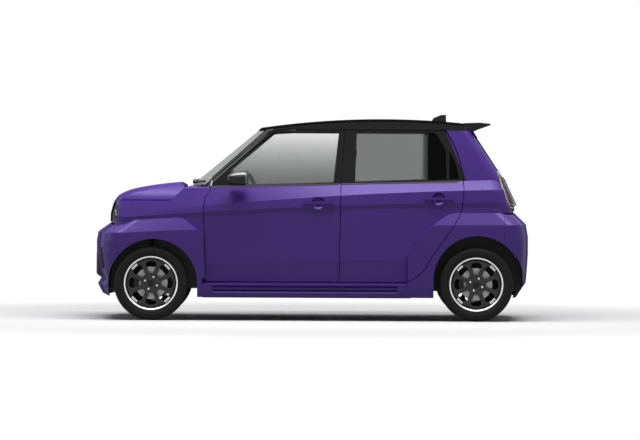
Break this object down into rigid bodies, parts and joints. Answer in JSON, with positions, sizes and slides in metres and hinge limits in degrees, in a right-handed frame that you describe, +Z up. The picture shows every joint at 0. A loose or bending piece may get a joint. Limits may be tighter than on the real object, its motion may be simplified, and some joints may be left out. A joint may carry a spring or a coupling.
{
  "type": "kei car",
  "caption": "Small tall five-door electric hatchback with box flares, opening doors, bonnet and tailgate, linked steering and free-turning wheels.",
  "frame": {"origin": "on the ground under the middle of the car's length and width", "axes": "+X towards the tail, +Y towards the car's right side, +Z up"},
  "size_m": [3.3946, 1.802, 1.606],
  "materials": {
    "paint": "gloss metallic",
    "black_gloss": "gloss",
    "black_trim": "satin",
    "structure": "satin",
    "glass": "tinted",
    "lamp_clear": "clear",
    "lamp_red": "clear",
    "fabric": "woven",
    "steel": "coated",
    "motor": "cast",
    "battery": "satin",
    "wheel": "gloss lacquer",
    "tyre": "matt"
  },
  "bodies": {
    "shell": {"floor_pan": "structure", "side_frame_left": "paint", "side_frame_right": "paint", "roof_panel": "black_gloss", "motor_bay": "structure", "fender_left": "paint", "fender_right": "paint", "front_bumper": "paint", "rear_bumper": "paint", "nose_panel": "black_gloss", "headlamps": "lamp_clear", "tail_lamps": "lamp_red", "windscreen": "glass", "wipers": "black_trim", "dashboard": "black_trim", "front_seats": "fabric", "rear_seat": "fabric", "front_subframe": "steel", "rear_axle": "steel", "drive_unit": "motor", "battery_pack": "battery"},
    "bonnet": {"bonnet": "paint"},
    "tailgate": {"tailgate": "paint", "tailgate_glass": "glass", "spoiler": "black_gloss"},
    "steering_wheel": {"steering_wheel": "black_trim"},
    "knuckle_left": {"knuckle_left": "steel"},
    "wheel_front_left": {"rim_front_left": "wheel", "tyre_front_left": "tyre"},
    "wheel_rear_left": {"rim_rear_left": "wheel", "tyre_rear_left": "tyre"},
    "front_door_left": {"front_door_left": "paint", "front_door_glass_left": "glass", "mirror_left": "black_gloss"},
    "rear_door_left": {"rear_door_left": "paint", "rear_door_glass_left": "glass"},
    "knuckle_right": {"knuckle_right": "steel"},
    "wheel_front_right": {"rim_front_right": "wheel", "tyre_front_right": "tyre"},
    "wheel_rear_right": {"rim_rear_right": "wheel", "tyre_rear_right": "tyre"},
    "front_door_right": {"front_door_right": "paint", "front_door_glass_right": "glass", "mirror_right": "black_gloss"},
    "rear_door_right": {"rear_door_right": "paint", "rear_door_glass_right": "glass"}
  },
  "joints": [
    {"name": "bonnet_hinge", "type": "hinge", "parent": "shell", "child": "bonnet", "pos_m": [-1.003, 0, 0.99], "axis": [0, 1, 0], "range_deg": [0, 55]},
    {"name": "tailgate_hinge", "type": "hinge", "parent": "shell", "child": "tailgate", "pos_m": [1.18, 0, 1.53], "axis": [0, -1, 0], "range_deg": [0, 80]},
    {"name": "front_door_left_hinge", "type": "hinge", "parent": "shell", "child": "front_door_left", "pos_m": [-0.793, -0.7175, 0.303], "axis": [0.038, 0, -0.9993], "range_deg": [0, 65]},
    {"name": "rear_door_left_hinge", "type": "hinge", "parent": "shell", "child": "rear_door_left", "pos_m": [0.24, -0.7175, 0.303], "axis": [-0.0171, 0, -0.9999], "range_deg": [0, 70]},
    {"name": "steer_left", "type": "hinge", "parent": "shell", "child": "knuckle_left", "pos_m": [-1.2475, -0.624, 0.2], "axis": [0, 0.23, 0.9732], "range_deg": [-33, 33]},
    {"name": "wheel_front_left_spin", "type": "hinge", "parent": "knuckle_left", "child": "wheel_front_left", "pos_m": [-1.2475, -0.685, 0.287], "axis": [0, 1, 0], "continuous": true},
    {"name": "wheel_rear_left_spin", "type": "hinge", "parent": "shell", "child": "wheel_rear_left", "pos_m": [1.2725, -0.685, 0.287], "axis": [0, 1, 0], "continuous": true},
    {"name": "front_door_right_hinge", "type": "hinge", "parent": "shell", "child": "front_door_right", "pos_m": [-0.793, 0.7175, 0.303], "axis": [-0.038, 0, 0.9993], "range_deg": [0, 65]},
    {"name": "rear_door_right_hinge", "type": "hinge", "parent": "shell", "child": "rear_door_right", "pos_m": [0.24, 0.7175, 0.303], "axis": [0.0171, 0, 0.9999], "range_deg": [0, 70]},
    {"name": "steer_right", "type": "hinge", "parent": "shell", "child": "knuckle_right", "pos_m": [-1.2475, 0.624, 0.2], "axis": [0, -0.23, 0.9732], "range_deg": [-33, 33]},
    {"name": "wheel_front_right_spin", "type": "hinge", "parent": "knuckle_right", "child": "wheel_front_right", "pos_m": [-1.2475, 0.685, 0.287], "axis": [0, 1, 0], "continuous": true},
    {"name": "wheel_rear_right_spin", "type": "hinge", "parent": "shell", "child": "wheel_rear_right", "pos_m": [1.2725, 0.685, 0.287], "axis": [0, 1, 0], "continuous": true},
    {"name": "steering_wheel_turn", "type": "hinge", "parent": "shell", "child": "steering_wheel", "pos_m": [-0.425, 0.34, 0.962], "axis": [0.9063, 0, 0.4226], "range_deg": [-495, 495]}
  ],
  "couplings": [
    {"joint": "steer_right", "follows": "steer_left", "ratio": 1},
    {"joint": "steering_wheel_turn", "follows": "steer_left", "ratio": 15}
  ]
}
